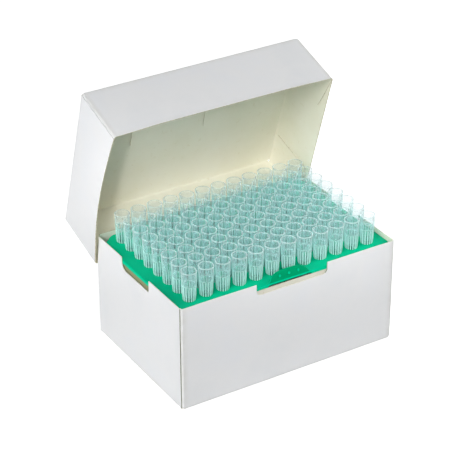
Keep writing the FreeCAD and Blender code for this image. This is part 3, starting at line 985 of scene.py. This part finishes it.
def tip_column(i):
    rng = np.random.default_rng(4100 + i)
    x = (i - 5.5) * PITCH
    co, fa = [], []
    for j in range(8):
        y = (j - 3.5) * PITCH
        turn = rng.uniform(0, 2 * math.pi)
        lean, way = math.radians(rng.uniform(0.0, 0.28)), rng.uniform(0, 2 * math.pi)
        rise = rng.uniform(0.0, 0.10)
        axis = Vector((math.cos(way), math.sin(way), 0))
        m = Matrix.Translation((x, y, DECK + rise)) @ Matrix.Rotation(lean, 4, axis) @ Matrix.Rotation(turn, 4, "Z") @ Matrix.Translation((0, 0, -DECK))
        a = np.array(m)
        p = TIP_PTS @ a[:3, :3].T + a[:3, 3]
        fa.append(TIP_FACES + len(TIP_PTS) * j)
        co.append(p)
    co, fa = np.concatenate(co), np.concatenate(fa)
    name = "tips_%02d" % (i + 1)
    me = bpy.data.meshes.new(name)
    me.from_pydata((co * MM).tolist(), [], fa.tolist())
    me.materials.append(TIP)
    me.materials.append(TIP_IN)
    me.polygons.foreach_set("material_index", np.tile(TIP_SLOTS, 8))
    # the tips get a little clearer from the front row to the back one
    rim = TIP_PTS[:, 2] > T - 0.9
    body = (1.30, 1.12, 0.98, 0.95, 0.93, 0.91, 0.89, 0.87)
    milky = [np.minimum(TIP_MILK * np.where(rim, 1.02 - 0.075 * j, body[j]), 0.9) for j in range(8)]
    for key, vals in (("milk", np.concatenate(milky)), ("foot_shade", np.tile(TIP_FOOT_SHADE, 8))):
        at = me.attributes.new(key, "FLOAT", "POINT")
        at.data.foreach_set("value", vals.astype(np.float32))
    bm = bmesh.new()
    bm.from_mesh(me)
    bmesh.ops.recalc_face_normals(bm, faces=bm.faces[:])
    bm.to_mesh(me)
    bm.free()
    me.polygons.foreach_set("use_smooth", [True] * len(me.polygons))
    me.set_sharp_from_angle(angle=math.radians(44))
    me.update()
    ob = bpy.data.objects.new(name, me)
    bpy.context.scene.collection.objects.link(ob)
    return ob


# ------------------------------------------------------------------- build
shell = base_carton()
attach(shell, "carton")
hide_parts("carton_base")

lid = lid_carton()
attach(lid, "lid")
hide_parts("carton_lid")

ply = lid_ply()
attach(ply, "lid")

fold, fold_a, fold_b = crease_strip()
tuple(fold_a)
tuple(fold_b)
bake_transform(fold)

sleeve = liner_sleeve()
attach(sleeve, "carton")
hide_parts("inner_liner")

lap = liner_lap()
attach(lap, "carton")

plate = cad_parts["rack_plate"]
plate.data.materials.clear()
plate.data.materials.append(GREEN)

for i in range(12):
    col = tip_column(i)
    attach(col, "carton")
    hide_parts("tip_column_%02d" % (i + 1))

# -------------------------------------------------------- floor, light, camera
FLOOR_GLOW = 0.55
me = bpy.data.meshes.new("floor")
bm = bmesh.new()
bmesh.ops.create_grid(bm, x_segments=8, y_segments=8, size=3.0)
bm.to_mesh(me)
bm.free()
floor = bpy.data.objects.new("floor", me)
floor.location = (0, 0.4, -0.00002)
bpy.context.scene.collection.objects.link(floor)
m, nt, b, out = new_material("pale_floor")
b.inputs["Base Color"].default_value = (0.82, 0.82, 0.82, 1)
b.inputs["Roughness"].default_value = 0.9
b.inputs["Specular IOR Level"].default_value = 0.1
b.inputs["Emission Color"].default_value = (1, 1, 1, 1)
seen = nt.nodes.new("ShaderNodeLightPath")
glow = maths(nt, "MULTIPLY", seen.outputs["Is Camera Ray"], FLOOR_GLOW)
nt.links.new(glow, b.inputs["Emission Strength"])
me.materials.append(m)

world = bpy.data.worlds.new("soft")
world.use_nodes = True
bg = next(n for n in world.node_tree.nodes if n.type == "BACKGROUND")
bg.inputs["Color"].default_value = (1.0, 1.0, 1.0, 1)
bg.inputs["Strength"].default_value = 0.10
bpy.context.scene.world = world


def softbox(name, azimuth, elevation, away, size, power, target=(0, 0, 0.07), spread=180):
    """A soft light at a compass angle round the box (0 is straight in front,
    negative to the left), facing it; a small spread is a gridded one."""
    d = bpy.data.lights.new(name, "AREA")
    d.shape = "RECTANGLE"
    d.size, d.size_y = size
    d.energy = power
    d.spread = math.radians(spread)
    o = bpy.data.objects.new(name, d)
    target = Vector(target)
    a, e = math.radians(azimuth), math.radians(elevation)
    o.location = target + away * Vector((math.sin(a) * math.cos(e), -math.cos(a) * math.cos(e), math.sin(e)))
    o.rotation_mode = "QUATERNION"
    o.rotation_quaternion = (target - o.location).to_track_quat("-Z", "Y")
    o.visible_glossy = spread > 90
    bpy.context.scene.collection.objects.link(o)
    return o


LIGHTS = (
    ("front_left_softbox", -50, 32, 2.2, (1.41, 1.1), 30.0),
    ("low_left_softbox", -95, 8, 1.4, (0.9, 0.35), 5.8),
    ("right_softbox", 75, 30, 1.0, (0.64, 0.5), 6.4),
    ("back_softbox", 165, 28, 1.6, (0.9, 0.7), 3.2),
    ("gridded_left", -38, 24, 0.80, (0.16, 0.05), 0.0122, (0.036, 0.054, 0.046), 7.0),
    ("gridded_right", 38, 20, 0.80, (0.14, 0.06), 0.0026, (-0.030, 0.052, 0.048), 8),
)
for light in LIGHTS:
    softbox(*light)

cam_data = bpy.data.cameras.new("camera")
cam_data.sensor_fit = "HORIZONTAL"
cam_data.sensor_width = 36.0
cam_data.lens = 1853.904 / 450.0 * 36.0
cam_data.clip_start, cam_data.clip_end = 0.05, 20.0
cam = bpy.data.objects.new("camera", cam_data)
az, el, roll = math.radians(-31.347), math.radians(29.510), math.radians(-0.287)
back = Vector((math.sin(az) * math.cos(el), -math.cos(az) * math.cos(el), math.sin(el)))
right0 = Vector((math.cos(az), math.sin(az), 0))
up0 = back.cross(right0)
right = right0 * math.cos(roll) + up0 * math.sin(roll)
up = up0 * math.cos(roll) - right0 * math.sin(roll)
mat = Matrix((
    (right.x, up.x, back.x, -0.410588),
    (right.y, up.y, back.y, -0.656015),
    (right.z, up.z, back.z, 0.499836),
    (0, 0, 0, 1)))
cam.matrix_world = mat
bpy.context.scene.collection.objects.link(cam)
bpy.context.scene.camera = cam
bpy.context.scene.view_settings.view_transform = "Standard"
# a line of sight crosses up to four tips, with four skins in each
bpy.context.scene.cycles.transparent_max_bounces = 24
bpy.context.scene.cycles.caustics_reflective = False
# the gridded lights are small and narrow: pick every light equally often
bpy.context.scene.cycles.use_light_tree = False
